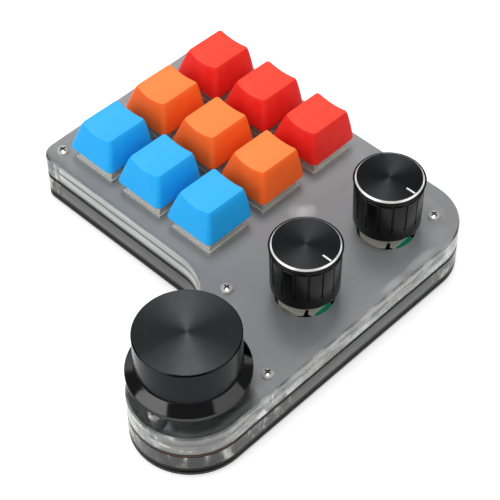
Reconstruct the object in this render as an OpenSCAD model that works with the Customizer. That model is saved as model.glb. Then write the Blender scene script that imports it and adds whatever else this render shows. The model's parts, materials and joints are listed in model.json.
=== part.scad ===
// Macro keypad: nine mechanical key switches and three push-and-turn knobs in a layered,
// L-shaped case. Millimetres. +X is right, +Y is away from the user, +Z is up.
// The origin is at the centre of the case outline, on the surface that the feet rest on.

/* [Case outline] */
// Overall width of the case
case_w = 105; // [100:1:125]
// Overall depth of the case, with the leg that carries the large knob
case_d = 111; // [106:1:130]
// Depth of the block that carries the keys
block_d = 66.85; // [66:0.5:78]
// Width of the leg, whose front end is fully round
leg_w = 32.2; // [30:0.5:38]
// Radius of the two left corners
left_corner_r = 4.6; // [3:0.2:8]
// Radius of the back right corner
right_corner_r = 15.3; // [8:0.5:16]
// Radius of the hollow corner between the block and the leg
inner_corner_r = 15.2; // [8:0.5:18]
// Bevel along the upper edge of the case and both edges of the base plate
edge_bevel = 0.5; // [0.2:0.1:0.8]

/* [Case layers] */
// Thickness of the upper shell
top_t = 6.3; // [6:0.05:8]
// Thickness of the skin left above the pocket of the upper shell
skin_t = 3.2; // [1.5:0.1:3.8]
// Thickness of the circuit board
pcb_t = 1.2; // [1:0.1:2]
// Height of the lower frame
frame_t = 5.75; // [5:0.05:8]
// Thickness of the base plate
base_t = 2.1; // [1.8:0.1:3]
// Width of the wall left round the pockets
wall_t = 3.4; // [2.6:0.1:4]
// Thickness of the rubber feet
foot_t = 1.2; // [0.8:0.1:3]
// Radius of the rubber feet
foot_r = 4; // [3:0.5:5]
// Distance from the case edge to the centre of a foot
foot_inset = 14; // [12:0.5:16]

/* [Screws] */
// Radius of the screw shanks
screw_r = 1; // [0.8:0.05:1.2]
// Radius of the pan heads
screw_head_r = 1.65; // [1.5:0.05:1.9]
// Height of the pan heads
screw_head_t = 1.2; // [1:0.1:1.6]
// Distance from the case edge to a screw
screw_inset = 4.8; // [4.6:0.1:5.4]
// Distance from the leg's round front to its screw
leg_screw_inset = 4; // [3.8:0.1:5]
// Distance from the large knob's axis back to the screw beside it
side_screw_back = 16; // [14:0.5:18]
// Distance of the back right screw from both edges of its corner
corner_screw_inset = 9.4; // [8:0.1:11]

/* [Keys] */
// Distance between key columns
key_pitch_x = 19.05; // [18.6:0.05:20]
// Distance between key rows
key_pitch_y = 20.3; // [19:0.05:21]
// Distance from the left edge to the first key column
key_margin = 16.43; // [15.6:0.05:18]
// Width of a keycap at its rim
cap_w = 16.9; // [16.4:0.1:18.2]
// Radius of the keycap's rim corners
cap_corner_r = 1.8; // [1.2:0.1:2.6]
// Radius of the corners of the keycap's finger face
cap_top_corner_r = 1.1; // [0.8:0.1:1.6]
// Width of the keycap's finger face
cap_top_w = 11.3; // [10.8:0.1:13]
// Depth of the keycap's finger face
cap_top_d = 13.2; // [12:0.1:14]
// Height of the keycap at the sides of its finger face
cap_h = 8.05; // [7.8:0.05:10]
// Distance that the finger face is set back from the middle
cap_setback = 1.35; // [0.8:0.05:1.8]
// Fall of the finger face towards the back, in degrees
cap_tilt = 1.8; // [0:0.2:4]
// Radius of the hollow across the finger face
cap_dish_r = 23; // [18:1:40]
// How far the keycap's sides swell out
cap_swell = 0.1; // [0:0.05:0.6]
// Wall of the keycap
cap_wall = 1.2; // [1:0.1:1.3]
// Height of the keycap's rim above the case
cap_lift = 5.1; // [4.9:0.1:6]
// Full travel of a key
key_travel = 4; // [3:0.1:4]

/* [Switches] */
// Width of the square cut-outs for the switches
cutout_w = 14; // [13.9:0.1:14.4]
// Width of the switch flange that rests on the case
flange_w = 14.8; // [14.7:0.1:15.6]
// Thickness of the switch flange
flange_t = 1; // [0.8:0.1:1.2]
// Height of the switch housing above the case
housing_h = 6.6; // [6.2:0.1:7]
// Wall of the switch housing
housing_wall = 0.6; // [0.5:0.05:0.8]
// Width of the sliding stem
stem_w = 7; // [6.8:0.1:7.2]
// Depth of the sliding stem
stem_d = 5.7; // [5.6:0.05:5.8]
// Arm length of the cross on the stem
cross_w = 4; // [3.8:0.05:4.1]
// Arm thickness of the cross on the stem
cross_t = 1.2; // [1.1:0.05:1.3]
// Height of the cross
cross_h = 3.6; // [3.2:0.1:3.8]
// Outer radius of the return spring
spring_r = 2.1; // [1.9:0.05:2.2]
// Radius of the spring wire
spring_wire_r = 0.18; // [0.12:0.02:0.22]

/* [Encoders] */
// Radius of the round openings in the case over the encoders
knob_hole_r = 8; // [7.9:0.1:8.4]
// Width of an encoder body over its terminal blocks
encoder_w = 13.6; // [13:0.1:13.8]
// Depth of an encoder body over its bracket
encoder_d = 13.2; // [12.8:0.1:13.4]
// Height of an encoder body above the circuit board
encoder_h = 6.15; // [6:0.05:7]
// Sheet thickness of the folded bracket
bracket_t = 0.4; // [0.3:0.05:0.5]
// Radius of the encoder shaft
shaft_r = 3; // [2.9:0.05:3.1]
// Running clearance round the shaft
shaft_gap = 0.05; // [0.03:0.01:0.08]
// Outer radius of the bushing
bushing_r = 3.5; // [3.4:0.1:4]
// Height of the bushing above the encoder body
bushing_h = 5; // [4:0.5:5.5]
// Depth of the flat on the shaft
shaft_flat = 1.5; // [1:0.1:1.6]
// Travel of a knob when it is pushed
push_travel = 0.5; // [0.3:0.1:0.6]

/* [Small knobs] */
// Distance from the back edge to the back small knob's axis
knob_back_inset = 21.3; // [20.9:0.1:24]
// Distance between the two small knobs
knob_pitch = 31.9; // [28:0.1:34]
// Outer radius of the small knob's rim
knob_r = 9.45; // [8.5:0.05:10.5]
// Height of the small knob
knob_h = 15.4; // [14:0.1:18]
// Height of the small knob's foot above the case
knob_lift = 4.1; // [3.5:0.1:5]
// How much the grip narrows from the rim to the foot
knob_taper = 0.15; // [0:0.05:0.6]
// Number of grooves round the grip
groove_n = 16; // [12:1:24]
// Depth of the V-shaped grooves
groove_depth = 0.3; // [0.2:0.05:0.6]
// Height of the smooth band below the grooves
knob_band_h = 3.8; // [0.5:0.1:5]
// Width of the bright bevelled ring
ring_w = 0.6; // [0.5:0.05:1]

/* [Large knob] */
// Radius of the large knob's barrel
barrel_r = 13.45; // [12:0.05:14]
// Radius of the large knob's skirt
skirt_r = 15.8; // [15:0.1:16.1]
// Height of the skirt's upright rim
skirt_t = 1.3; // [1:0.1:2]
// Height of the flare between the rim and the barrel
flare_h = 2.6; // [2:0.1:4]
// Height of the large knob
dial_h = 14.9; // [13:0.1:20]
// Height of the large knob's foot above the case
dial_lift = 6.85; // [6.4:0.05:8]

/* [Hidden] */
$fn = 64;
eps = 0.01;

// Edges of the case outline
left_x = -case_w / 2;
right_x = case_w / 2;
leg_x = right_x - leg_w;
leg_front_y = -case_d / 2;
back_y = case_d / 2;
block_front_y = back_y - block_d;
leg_end_r = leg_w / 2;

// Levels of the layers
base_z = foot_t;
frame_z = base_z + base_t;
pcb_z = frame_z + frame_t;
pcb_top_z = pcb_z + pcb_t;
deck_z = pcb_top_z + top_t;

// Keys: rows are named from the user's side
ROW_NAMES = ["front", "middle", "back"];
ROW_COLOURS = [[0.16, 0.6, 0.94], [0.95, 0.42, 0.16], [0.88, 0.13, 0.1]];
COLUMNS = [0, 1, 2];
block_middle_y = (block_front_y + back_y) / 2;
key_spots = [for (row = [0:2]) for (column = COLUMNS) key_spot(row, column)];
function key_spot(row, column) =
    [left_x + key_margin + column * key_pitch_x, block_middle_y + (row - 1) * key_pitch_y];

// Knobs
KNOB_NAMES = ["large", "front", "back"];
knob_x = right_x - leg_end_r;
dial_y = leg_front_y + leg_end_r;
back_knob_y = back_y - knob_back_inset;
knob_spots = [[knob_x, dial_y], [knob_x, back_knob_y - knob_pitch], [knob_x, back_knob_y]];

// Case screws
inner_screw_shift = 0.6;
screw_hole_r = screw_r + 0.1;
boss_r = screw_r + 2.4;
screw_spots = [
    [left_x + screw_inset, block_front_y + screw_inset],
    [left_x + screw_inset, back_y - screw_inset],
    [right_x - corner_screw_inset, back_y - corner_screw_inset],
    [leg_x + inner_screw_shift, block_front_y + inner_screw_shift],
    [right_x - screw_inset, dial_y + side_screw_back],
    [knob_x, leg_front_y + leg_screw_inset]
];
// Screws that stand clear of the walls, each with the direction of its web
boss_webs = [[2, 45], [3, 225]];
boss_web_w = 3;
// Width of the band along the case's edge that carries the bevel
band_w = 3;
foot_spots = [
    [left_x + foot_inset, block_front_y + foot_inset],
    [left_x + foot_inset, back_y - foot_inset],
    [right_x - foot_inset, back_y - foot_inset],
    [right_x - foot_inset, block_front_y],
    [knob_x, leg_front_y + foot_inset]
];

// Switch levels and widths
cutout_corner_r = 0.25;
housing_top_z = deck_z + housing_h;
housing_foot_w = flange_w - 1.2;
housing_head_w = 9.6;
housing_head_d = 8;
body_w = cutout_w - 0.1;
cavity_w = 11;
floor_t = 1.2;
floor_z = pcb_top_z + floor_t;
stem_gap = 0.15;
collar_w = 8.2;
collar_d = 6.6;
collar_t = 0.8;
collar_z = housing_top_z - housing_wall - stem_gap - collar_t;
stem_foot_z = floor_z + key_travel + 0.4;
stem_top_z = housing_top_z + 0.1;
spring_top_z = collar_z;
spring_turns = 5;
barrel_bore_r = spring_r + 0.15;
post_r = 1.9;
post_drop = pcb_t + 1.2;
contact_spots = [[-3.8, 2.5], [2.5, 5]];
contact_r = 0.4;
contact_drop = pcb_t + 0.9;

// Keycap levels
cap_z = deck_z + cap_lift;
cap_roof_t = 1.5;
cap_post_r = 2.7;
cross_gap = 0.05;
cap_slices = 4;

// Encoder parts
encoder_top_z = pcb_top_z + encoder_h;
bore_floor_z = pcb_top_z + 0.3;
plunger_z = bore_floor_z + push_travel + 0.1;
plunger_t = 0.8;
shaft_z = plunger_z + plunger_t;
plate_w = encoder_w - 1.2;
bracket_gap = 0.05;
tab_w = 6.6;
ear_y = 3.2;
block_d_half = 3;
block_drop = 0.8;
lug_w = 2;
lug_drop = pcb_t + 0.8;
pin_x = 4.6;
pin_pitch = 2.5;
encoder_pins_at = [
    [-pin_x, -pin_pitch], [-pin_x, 0], [-pin_x, pin_pitch],
    [pin_x, -pin_pitch], [pin_x, pin_pitch]
];
pin_r = 0.4;
pin_seat = 0.9;

// Knob details
knob_z = deck_z + knob_lift;
dial_z = deck_z + dial_lift;
knob_cap_t = 3.6;
knob_hollow_r = 6.6;
knob_hollow_h = 4.4;
dial_hollow_r = 11;
dial_hollow_h = 7;
dial_boss_r = 6;
knob_rim_h = 0.9;
knob_rim_step = 0.2;
ring_h = 0.55;
bore_gap = 0.02;
mark_w = 0.5;
mark_t = 0.15;
mark_start_r = 5.7;
mark_l = 2.7;
knob_edge_r = 0.6;
set_screw_r = 1.5;
set_screw_l = 3;
set_screw_gap = 0.02;
knob_set_h = 7;
dial_set_h = dial_hollow_h + 2.2;

// USB receptacle on the underside of the board, its mouth in the back wall
usb_x = key_spots[1][0];
usb_w = 8.94;
usb_h = 3.26;
usb_l = 6.9;
usb_sheet = 0.3;
usb_recess = 0.6;
usb_port_gap = 0.35;
tongue_w = 6.7;
tongue_t = 0.7;
tongue_l = 5.4;

// ---- Shared shapes ----

// The L-shaped outline, moved inwards by inset
module case_outline(inset = 0) {
    x0 = left_x + inset;
    x1 = right_x - inset;
    y0 = block_front_y + inset;
    y1 = back_y - inset;
    r0 = left_corner_r - inset;
    r1 = right_corner_r - inset;
    re = leg_end_r - inset;
    rc = inner_corner_r + inset;
    // block, with its three outer corners
    translate([x0 + r0, y0]) square([x1 - r1 - x0 - r0, y1 - y0]);
    translate([x0, y0 + r0]) square([r0 + eps, y1 - y0 - 2 * r0]);
    for (y = [y0 + r0, y1 - r0]) translate([x0 + r0, y]) circle(r0);
    translate([x1 - r1 - eps, y0]) square([r1 + eps, y1 - r1 - y0]);
    translate([x1 - r1, y1 - r1]) circle(r1, $fn = 96);
    // leg, with its round end
    translate([knob_x - re, dial_y]) square([2 * re, y0 - dial_y + eps]);
    translate([knob_x, dial_y]) circle(re, $fn = 128);
    // web in the hollow corner
    translate([leg_x + inset - rc, y0 - rc]) difference() {
        square([rc + eps, rc + eps]);
        circle(rc, $fn = 96);
    }
}

// Runs its 2-D child once round the case: the child's x points out of the case and its y upwards
module along_edge() {
    // centre, radius, first angle and sweep of each outer corner
    corners = [
        [left_x + left_corner_r, back_y - left_corner_r, left_corner_r, 90, 90],
        [left_x + left_corner_r, block_front_y + left_corner_r, left_corner_r, 180, 90],
        [right_x - right_corner_r, back_y - right_corner_r, right_corner_r, 0, 90],
        [knob_x, dial_y, leg_end_r, 180, 180]
    ];
    // start, outward direction and length of each straight edge
    edges = [
        [right_x, back_y - right_corner_r, 0, back_y - right_corner_r - dial_y],
        [leg_x, dial_y, 180, block_front_y - inner_corner_r - dial_y],
        [leg_x - inner_corner_r, block_front_y, 270, leg_x - inner_corner_r - left_x - left_corner_r],
        [left_x, block_front_y + left_corner_r, 180, block_d - 2 * left_corner_r],
        [left_x + left_corner_r, back_y, 90, case_w - left_corner_r - right_corner_r]
    ];
    for (corner = corners)
        translate([corner[0], corner[1], 0]) rotate(corner[3])
            rotate_extrude(angle = corner[4], $fn = 96) translate([corner[2], 0]) children();
    translate([leg_x - inner_corner_r, block_front_y - inner_corner_r, 0])
        rotate_extrude(angle = 90, $fn = 96) translate([inner_corner_r, 0]) mirror([1, 0]) children();
    for (edge = edges)
        translate([edge[0], edge[1], 0]) rotate(edge[2]) rotate([90, 0, 0])
            linear_extrude(edge[3]) children();
}

// The bevelled edge layer: the full outline below, the outline moved in by the bevel above
module bevel_layer() {
    linear_extrude(edge_bevel) case_outline(band_w - 0.5);
    along_edge() polygon([[-band_w, 0], [0, 0], [-edge_bevel, edge_bevel], [-band_w, edge_bevel]]);
}

// A square with rounded corners, centred
module round_square(width, depth, radius) {
    square([width - 2 * radius, depth], center = true);
    square([width, depth - 2 * radius], center = true);
    for (x = [-1, 1], y = [-1, 1])
        translate([x * (width / 2 - radius), y * (depth / 2 - radius)]) circle(radius, $fn = 24);
}

module at_each(spots) {
    for (spot = spots) translate([spot[0], spot[1], 0]) children();
}

// Pocket inside the walls, leaving a boss round each screw and a web from it to the nearest wall
module pocket_outline() {
    difference() {
        case_outline(wall_t);
        at_each(screw_spots) circle(boss_r);
        for (web = boss_webs)
            translate(screw_spots[web[0]]) rotate(web[1])
                translate([0, -boss_web_w / 2]) square([corner_screw_inset, boss_web_w]);
    }
}

module screw_holes(radius, height) {
    at_each(screw_spots) translate([0, 0, -eps]) cylinder(r = radius, h = height + 2 * eps);
}

// ---- Case ----

module case_top() {
    color([0.72, 0.75, 0.77, 0.6])
        translate([0, 0, pcb_top_z]) difference() {
            union() {
                linear_extrude(top_t - edge_bevel) case_outline();
                translate([0, 0, top_t - edge_bevel]) bevel_layer();
            }
            translate([0, 0, -eps]) linear_extrude(top_t - skin_t + eps) pocket_outline();
            at_each(key_spots) linear_extrude(top_t + 1)
                round_square(cutout_w, cutout_w, cutout_corner_r);
            at_each(knob_spots) cylinder(r = knob_hole_r, h = top_t + 1);
            screw_holes(screw_hole_r, top_t);
        }
}

module pcb() {
    color([0.06, 0.06, 0.07])
        translate([0, 0, pcb_z]) difference() {
            linear_extrude(pcb_t) case_outline();
            screw_holes(screw_hole_r, pcb_t);
            at_each(key_spots) {
                translate([0, 0, -eps]) cylinder(r = post_r + 0.1, h = pcb_t + 2 * eps);
                for (spot = contact_spots)
                    translate([spot[0], spot[1], -eps]) cylinder(r = contact_r + 0.15, h = pcb_t + 2 * eps);
            }
            at_each(knob_spots) {
                for (spot = encoder_pins_at)
                    translate([spot[0], spot[1], -eps]) cylinder(r = pin_r + 0.15, h = pcb_t + 2 * eps);
                for (side = [-1, 1])
                    translate([0, side * (encoder_d - bracket_t) / 2, -eps])
                        linear_extrude(pcb_t + 2 * eps)
                            square([lug_w + 0.4, 2 * bracket_t], center = true);
            }
        }
}

module case_bottom() {
    color([0.78, 0.81, 0.83, 0.6])
        translate([0, 0, frame_z]) difference() {
            linear_extrude(frame_t) case_outline();
            translate([0, 0, -eps]) linear_extrude(frame_t + 2 * eps) pocket_outline();
            screw_holes(screw_hole_r, frame_t);
            translate([usb_x, back_y - wall_t - 1, frame_t - usb_h - usb_port_gap])
                translate([-usb_w / 2 - usb_port_gap, 0, 0])
                    cube([usb_w + 2 * usb_port_gap, wall_t + 2, usb_h + usb_port_gap + eps]);
        }
}

module base_plate() {
    color([0.05, 0.05, 0.055])
        difference() {
            union() {
                translate([0, 0, frame_z - edge_bevel]) bevel_layer();
                translate([0, 0, base_z + edge_bevel])
                    linear_extrude(base_t - 2 * edge_bevel) case_outline();
                translate([0, 0, base_z + edge_bevel]) mirror([0, 0, 1]) bevel_layer();
            }
            translate([0, 0, base_z]) screw_holes(screw_r + 0.02, base_t);
        }
}

module feet() {
    color([0.1, 0.1, 0.1]) at_each(foot_spots) cylinder(r = foot_r, h = foot_t);
}

// Pan-head screw with a cross recess, its head resting on the case
module case_screws() {
    recess_w = 0.5;
    recess_d = 0.7;
    shank_l = deck_z - base_z - 0.5;
    color([0.8, 0.79, 0.75]) at_each(screw_spots) translate([0, 0, deck_z]) difference() {
        rotate_extrude() {
            translate([0, -shank_l]) square([screw_r, shank_l + eps]);
            intersection() {
                square([screw_head_r, screw_head_t]);
                translate([0, screw_head_t - 2 * screw_head_r]) circle(2 * screw_head_r);
            }
        }
        for (turn = [0, 90])
            rotate(turn) translate([-screw_head_r * 0.6, -recess_w / 2, screw_head_t - recess_d])
                cube([screw_head_r * 1.2, recess_w, recess_d + 1]);
    }
}

// ---- Switches ----

// A block that is square at its foot and narrows to its head
module tapered_block(height, foot_w, head_w, head_d) {
    linear_extrude(height, scale = [head_w / foot_w, head_d / foot_w], slices = 1, segments = 4, $fn = 4)
        square(foot_w, center = true);
}

// Upper housing: a flange on the case and a tapered head with an opening for the stem
module switch_top() {
    head_h = housing_h - flange_t;
    inner_foot_w = housing_foot_w - 2 * housing_wall;
    inner_head_w = housing_head_w - 2 * housing_wall + 0.2;
    inner_head_d = housing_head_d - 2 * housing_wall + 0.2;
    difference() {
        union() {
            linear_extrude(flange_t) round_square(flange_w, flange_w, cutout_corner_r);
            translate([0, 0, flange_t])
                tapered_block(head_h, housing_foot_w, housing_head_w, housing_head_d);
        }
        translate([0, 0, -eps]) linear_extrude(flange_t + 2 * eps) square(inner_foot_w, center = true);
        translate([0, 0, flange_t])
            tapered_block(head_h - housing_wall, inner_foot_w, inner_head_w, inner_head_d);
        translate([0, 0, housing_h - housing_wall - 0.5]) linear_extrude(housing_wall + 1)
            square([stem_w + 2 * stem_gap, stem_d + 2 * stem_gap + 0.2], center = true);
    }
}

module switch_tops() {
    color([0.85, 0.88, 0.9, 0.6]) at_each(key_spots) translate([0, 0, deck_z]) switch_top();
}

// Lower housing: a box through the case down to the board, with its locating post
module switch_bottoms() {
    color([0.8, 0.83, 0.85, 0.7]) at_each(key_spots) {
        translate([0, 0, pcb_top_z]) difference() {
            linear_extrude(top_t) square(body_w, center = true);
            translate([0, 0, floor_t]) linear_extrude(top_t) square(cavity_w, center = true);
            for (spot = contact_spots)
                translate([spot[0], spot[1], -eps]) cylinder(r = contact_r + 0.05, h = floor_t + 2 * eps);
        }
        translate([0, 0, pcb_top_z - post_drop]) cylinder(r = post_r, h = post_drop + eps);
    }
}

module switch_contacts() {
    color([0.82, 0.68, 0.35]) at_each(key_spots)
        for (spot = contact_spots)
            translate([spot[0], spot[1], pcb_top_z - contact_drop])
                cylinder(r = contact_r, h = contact_drop + floor_t, $fn = 24);
}

// Stem: a hollow slider with a collar that stops under the housing, and the cross on top
module stem() {
    difference() {
        union() {
            translate([-stem_w / 2, -stem_d / 2, stem_foot_z])
                cube([stem_w, stem_d, stem_top_z - stem_foot_z]);
            translate([-collar_w / 2, -collar_d / 2, collar_z]) cube([collar_w, collar_d, collar_t]);
            for (size = [[cross_w, cross_t], [cross_t, cross_w]])
                translate([-size[0] / 2, -size[1] / 2, stem_top_z - eps])
                    cube([size[0], size[1], cross_h + eps]);
        }
        translate([0, 0, stem_foot_z - eps])
            cylinder(r = barrel_bore_r, h = spring_top_z - stem_foot_z + eps);
    }
}

// Coil spring: a ring of points swept along a helix
module spring() {
    sides = 5;
    per_turn = 10;
    rings = spring_turns * per_turn;
    mean_r = spring_r - spring_wire_r;
    low_z = floor_z + spring_wire_r;
    rise = spring_top_z - floor_z - 2 * spring_wire_r;
    points = [for (i = [0:rings]) for (k = [0:sides - 1])
        let (
            turn = 360 * i / per_turn,
            around = 360 * k / sides,
            reach = mean_r + spring_wire_r * cos(around)
        )
            [reach * cos(turn), reach * sin(turn), low_z + rise * i / rings + spring_wire_r * sin(around)]];
    walls = [for (i = [0:rings - 1]) for (k = [0:sides - 1])
        let (next = (k + 1) % sides)
            [i * sides + k, (i + 1) * sides + k, (i + 1) * sides + next, i * sides + next]];
    first = [for (k = [0:sides - 1]) k];
    last = [for (k = [sides - 1:-1:0]) rings * sides + k];
    color([0.8, 0.8, 0.78]) polyhedron(points, concat([first], walls, [last]));
}

// ---- Keycaps ----

// One level of the keycap's outside: t runs from 0 at the rim to 1 at the finger face
module cap_slice(t) {
    swell = 4 * t * (1 - t) * cap_swell;
    width = cap_w + (cap_top_w - cap_w) * t + 2 * swell;
    depth = cap_w + (cap_top_d - cap_w) * t + 2 * swell;
    translate([0, cap_setback * t, cap_h * t])
        rotate([-cap_tilt * t, 0, 0])
            linear_extrude(0.001)
                round_square(width, depth, cap_corner_r + (cap_top_corner_r - cap_corner_r) * t);
}

module keycap() {
    roof_z = cap_h - cap_roof_t;
    post_z = stem_top_z - cap_z;
    difference() {
        hull() for (i = [0:cap_slices]) cap_slice(i / cap_slices);
        // hollow across the finger face
        translate([0, cap_setback, cap_h + cap_dish_r - dish_depth()])
            rotate([90 - cap_tilt, 0, 0]) cylinder(r = cap_dish_r, h = 3 * cap_w, center = true, $fn = 128);
        // hollow underside
        difference() {
            hull() {
                translate([0, 0, -eps]) linear_extrude(0.001)
                    square(cap_w - 2 * cap_wall, center = true);
                translate([0, cap_setback, roof_z - 0.4]) linear_extrude(0.001)
                    square([cap_top_w - 2 * cap_wall + 0.6, cap_top_d - 2 * cap_wall + 0.6], center = true);
            }
            translate([0, 0, post_z]) cylinder(r = cap_post_r, h = cap_h);
        }
        // cross socket in the post
        for (size = [[cross_w, cross_t], [cross_t, cross_w]])
            translate([0, 0, post_z - eps]) linear_extrude(cross_h + cross_gap + eps)
                square([size[0] + 2 * cross_gap, size[1] + 2 * cross_gap], center = true);
    }
}

// Depth of the hollow at the middle of the finger face
function dish_depth() = cap_dish_r - sqrt(pow(cap_dish_r, 2) - pow(cap_top_w / 2, 2));

// ---- Encoders ----

// A cross-shaped body between the bracket's tabs, with a terminal block at each side
module encoder_bases() {
    base_h = encoder_h - bracket_t;
    inner_d = encoder_d - 2 * bracket_t - 2 * bracket_gap;
    color([0.05, 0.55, 0.42]) at_each(knob_spots) translate([0, 0, pcb_top_z]) difference() {
        union() {
            linear_extrude(base_h) {
                square([tab_w - 0.2, inner_d], center = true);
                square([plate_w - 0.6, 2 * block_d_half], center = true);
            }
            linear_extrude(base_h - block_drop) square([encoder_w, 2 * block_d_half], center = true);
        }
        translate([0, 0, bore_floor_z - pcb_top_z]) cylinder(r = shaft_r + shaft_gap, h = base_h);
        for (spot = encoder_pins_at)
            translate([spot[0], spot[1], -eps]) cylinder(r = pin_r + 0.02, h = pin_seat + 0.1);
    }
}

// A quarter of the bracket's top plate: a tab, an ear at the side and the slot between them
module bracket_quarter() {
    half_w = plate_w / 2;
    half_d = encoder_d / 2;
    polygon([
        [-eps, -eps], [half_w, -eps], [half_w, ear_y - 0.1], [half_w + 0.3, ear_y],
        [half_w + 0.3, ear_y + 0.9], [half_w - 1.1, ear_y + 1.1], [half_w - 1.6, ear_y],
        [half_w - 2.5, ear_y + 0.3], [tab_w / 2 + 1.2, half_d - 1.1], [tab_w / 2, half_d], [-eps, half_d]
    ]);
}

// Folded sheet: a top plate, a side at each tab and a lug from each side through the board
module encoder_brackets() {
    side_y = (encoder_d - bracket_t) / 2;
    color([0.78, 0.78, 0.76]) at_each(knob_spots) difference() {
        union() {
            translate([0, 0, encoder_top_z - bracket_t]) linear_extrude(bracket_t)
                for (x = [0, 1], y = [0, 1]) mirror([x, 0]) mirror([0, y]) bracket_quarter();
            for (side = [-side_y, side_y]) {
                translate([-tab_w / 2, side - bracket_t / 2, pcb_top_z])
                    cube([tab_w, bracket_t, encoder_h - bracket_t / 2]);
                translate([-lug_w / 2, side - bracket_t / 2, pcb_top_z - lug_drop])
                    cube([lug_w, bracket_t, lug_drop + eps]);
            }
        }
        translate([0, 0, encoder_top_z - 1]) cylinder(r = shaft_r + shaft_gap, h = 2);
    }
}

module encoder_bushings() {
    color([0.7, 0.7, 0.68]) at_each(knob_spots) translate([0, 0, encoder_top_z])
        rotate_extrude() polygon([
            [shaft_r + shaft_gap, 0], [bushing_r, 0], [bushing_r, bushing_h - 0.4],
            [bushing_r - 0.4, bushing_h], [shaft_r + shaft_gap, bushing_h]
        ]);
}

module encoder_pins() {
    color([0.8, 0.78, 0.7]) at_each(knob_spots)
        for (spot = encoder_pins_at)
            translate([spot[0], spot[1], pcb_top_z - lug_drop])
                cylinder(r = pin_r, h = lug_drop + pin_seat, $fn = 24);
}

// The disc that the shaft presses down without turning it
module plunger() {
    color([0.9, 0.9, 0.88]) translate([0, 0, plunger_z]) cylinder(r = shaft_r - 0.3, h = plunger_t);
}

// Shaft with a flat that faces the set screw
module shaft(top_z, flat_l) {
    color([0.72, 0.72, 0.7]) difference() {
        translate([0, 0, shaft_z]) cylinder(r = shaft_r, h = top_z - shaft_z);
        translate([-shaft_r - 1, -shaft_r, top_z - flat_l])
            cube([1 + shaft_flat, 2 * shaft_r, flat_l + 1]);
    }
}

// ---- Knobs ----

// Hole for the shaft and the set screw's hole behind it
module knob_bore(floor_h, roof_h, set_h) {
    translate([0, 0, floor_h - eps]) cylinder(r = shaft_r + bore_gap, h = roof_h - floor_h + eps);
    translate([0, 0, set_h]) rotate([0, -90, 0])
        cylinder(r = set_screw_r + set_screw_gap, h = 2 * skirt_r, $fn = 32);
}

module small_knob() {
    grip_r = knob_r - knob_rim_step;
    foot_r = grip_r - knob_taper;
    rim_z = knob_h - ring_h - knob_rim_h;
    roof_h = knob_h - knob_cap_t;
    groove_side = groove_depth * sqrt(2);
    groove_l = rim_z - 0.3 - knob_band_h;
    color([0.09, 0.09, 0.1]) difference() {
        rotate_extrude($fn = 128) polygon(concat(
            [[0, 0]],
            // rounded foot edge
            [for (a = [0:22.5:90])
                [foot_r - knob_edge_r * (1 - sin(a)), knob_edge_r * (1 - cos(a))]],
            [
                [grip_r, rim_z - 0.1], [knob_r, rim_z], [knob_r, knob_h - ring_h - 0.1],
                [knob_r - 0.1, knob_h - ring_h], [knob_r - 0.35, knob_h - ring_h],
                [knob_r - 0.35 - ring_w, knob_h], [0, knob_h]
            ]
        ));
        for (i = [0:groove_n - 1])
            rotate(360 * (i + 0.12) / groove_n) translate([grip_r, 0, knob_band_h]) rotate(45)
                translate([-groove_side / 2, -groove_side / 2, 0])
                    cube([groove_side, groove_side, groove_l]);
        translate([0, 0, -eps]) cylinder(r = knob_hollow_r, h = knob_hollow_h);
        knob_bore(knob_hollow_h, roof_h, knob_set_h);
        // indicator line
        translate([mark_start_r, -mark_w / 2, knob_h - mark_t]) cube([mark_l, mark_w, 1]);
    }
}

module large_knob() {
    flare_top = skirt_t + flare_h;
    edge_r = 0.3;
    roof_h = dial_h - knob_cap_t;
    color([0.07, 0.07, 0.08]) difference() {
        rotate_extrude($fn = 180) polygon(concat(
            [[0, 0], [skirt_r - 0.2, 0], [skirt_r, 0.2], [skirt_r, skirt_t - 0.1], [skirt_r - 0.1, skirt_t]],
            // hollow flare up to the barrel
            [for (a = [0:15:90]) [
                barrel_r + (skirt_r - 0.4 - barrel_r) * (1 - sin(a)),
                skirt_t + 0.2 + (flare_top - skirt_t - 0.2) * (1 - cos(a))
            ]],
            [[barrel_r, dial_h - edge_r], [barrel_r - edge_r, dial_h], [0, dial_h]]
        ));
        translate([0, 0, -eps]) difference() {
            cylinder(r = dial_hollow_r, h = dial_hollow_h);
            translate([0, 0, 1]) cylinder(r = dial_boss_r, h = dial_hollow_h);
        }
        knob_bore(0, roof_h, dial_set_h);
    }
}

module set_screw(set_h) {
    color([0.25, 0.25, 0.27]) translate([-shaft_r + shaft_flat, 0, set_h])
        rotate([0, -90, 0]) translate([0, 0, 0.02]) difference() {
            cylinder(r = set_screw_r, h = set_screw_l, $fn = 32);
            translate([0, 0, set_screw_l - 1.2]) cylinder(r = 0.75, h = 2, $fn = 6);
        }
}

// ---- Electronics ----

module usb_profile(inset) {
    round_square(usb_w - 2 * inset, usb_h - 2 * inset, 1.2 - inset);
}

module usb_shell() {
    color([0.75, 0.75, 0.73])
        translate([usb_x, back_y - usb_recess, pcb_z - usb_h / 2]) rotate([90, 0, 0]) difference() {
            linear_extrude(usb_l) usb_profile(0);
            translate([0, 0, -eps]) linear_extrude(usb_l - usb_sheet + eps) usb_profile(usb_sheet);
        }
}

module usb_tongue() {
    color([0.08, 0.08, 0.08])
        translate([usb_x, back_y - usb_recess - usb_l + usb_sheet, pcb_z - usb_h / 2])
            rotate([-90, 0, 0]) linear_extrude(tongue_l) square([tongue_w, tongue_t], center = true);
}

module board_part(x, y, size, colour) {
    color(colour) translate([x - size[0] / 2, y - size[1] / 2, pcb_z - size[2]]) cube(size);
}

module controller_chip() {
    board_part(usb_x, back_y - 24, [7, 7, 1], [0.1, 0.1, 0.11]);
}

module crystal() {
    board_part(usb_x + 8, back_y - 24, [3.2, 2.5, 0.8], [0.8, 0.8, 0.76]);
}

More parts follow.
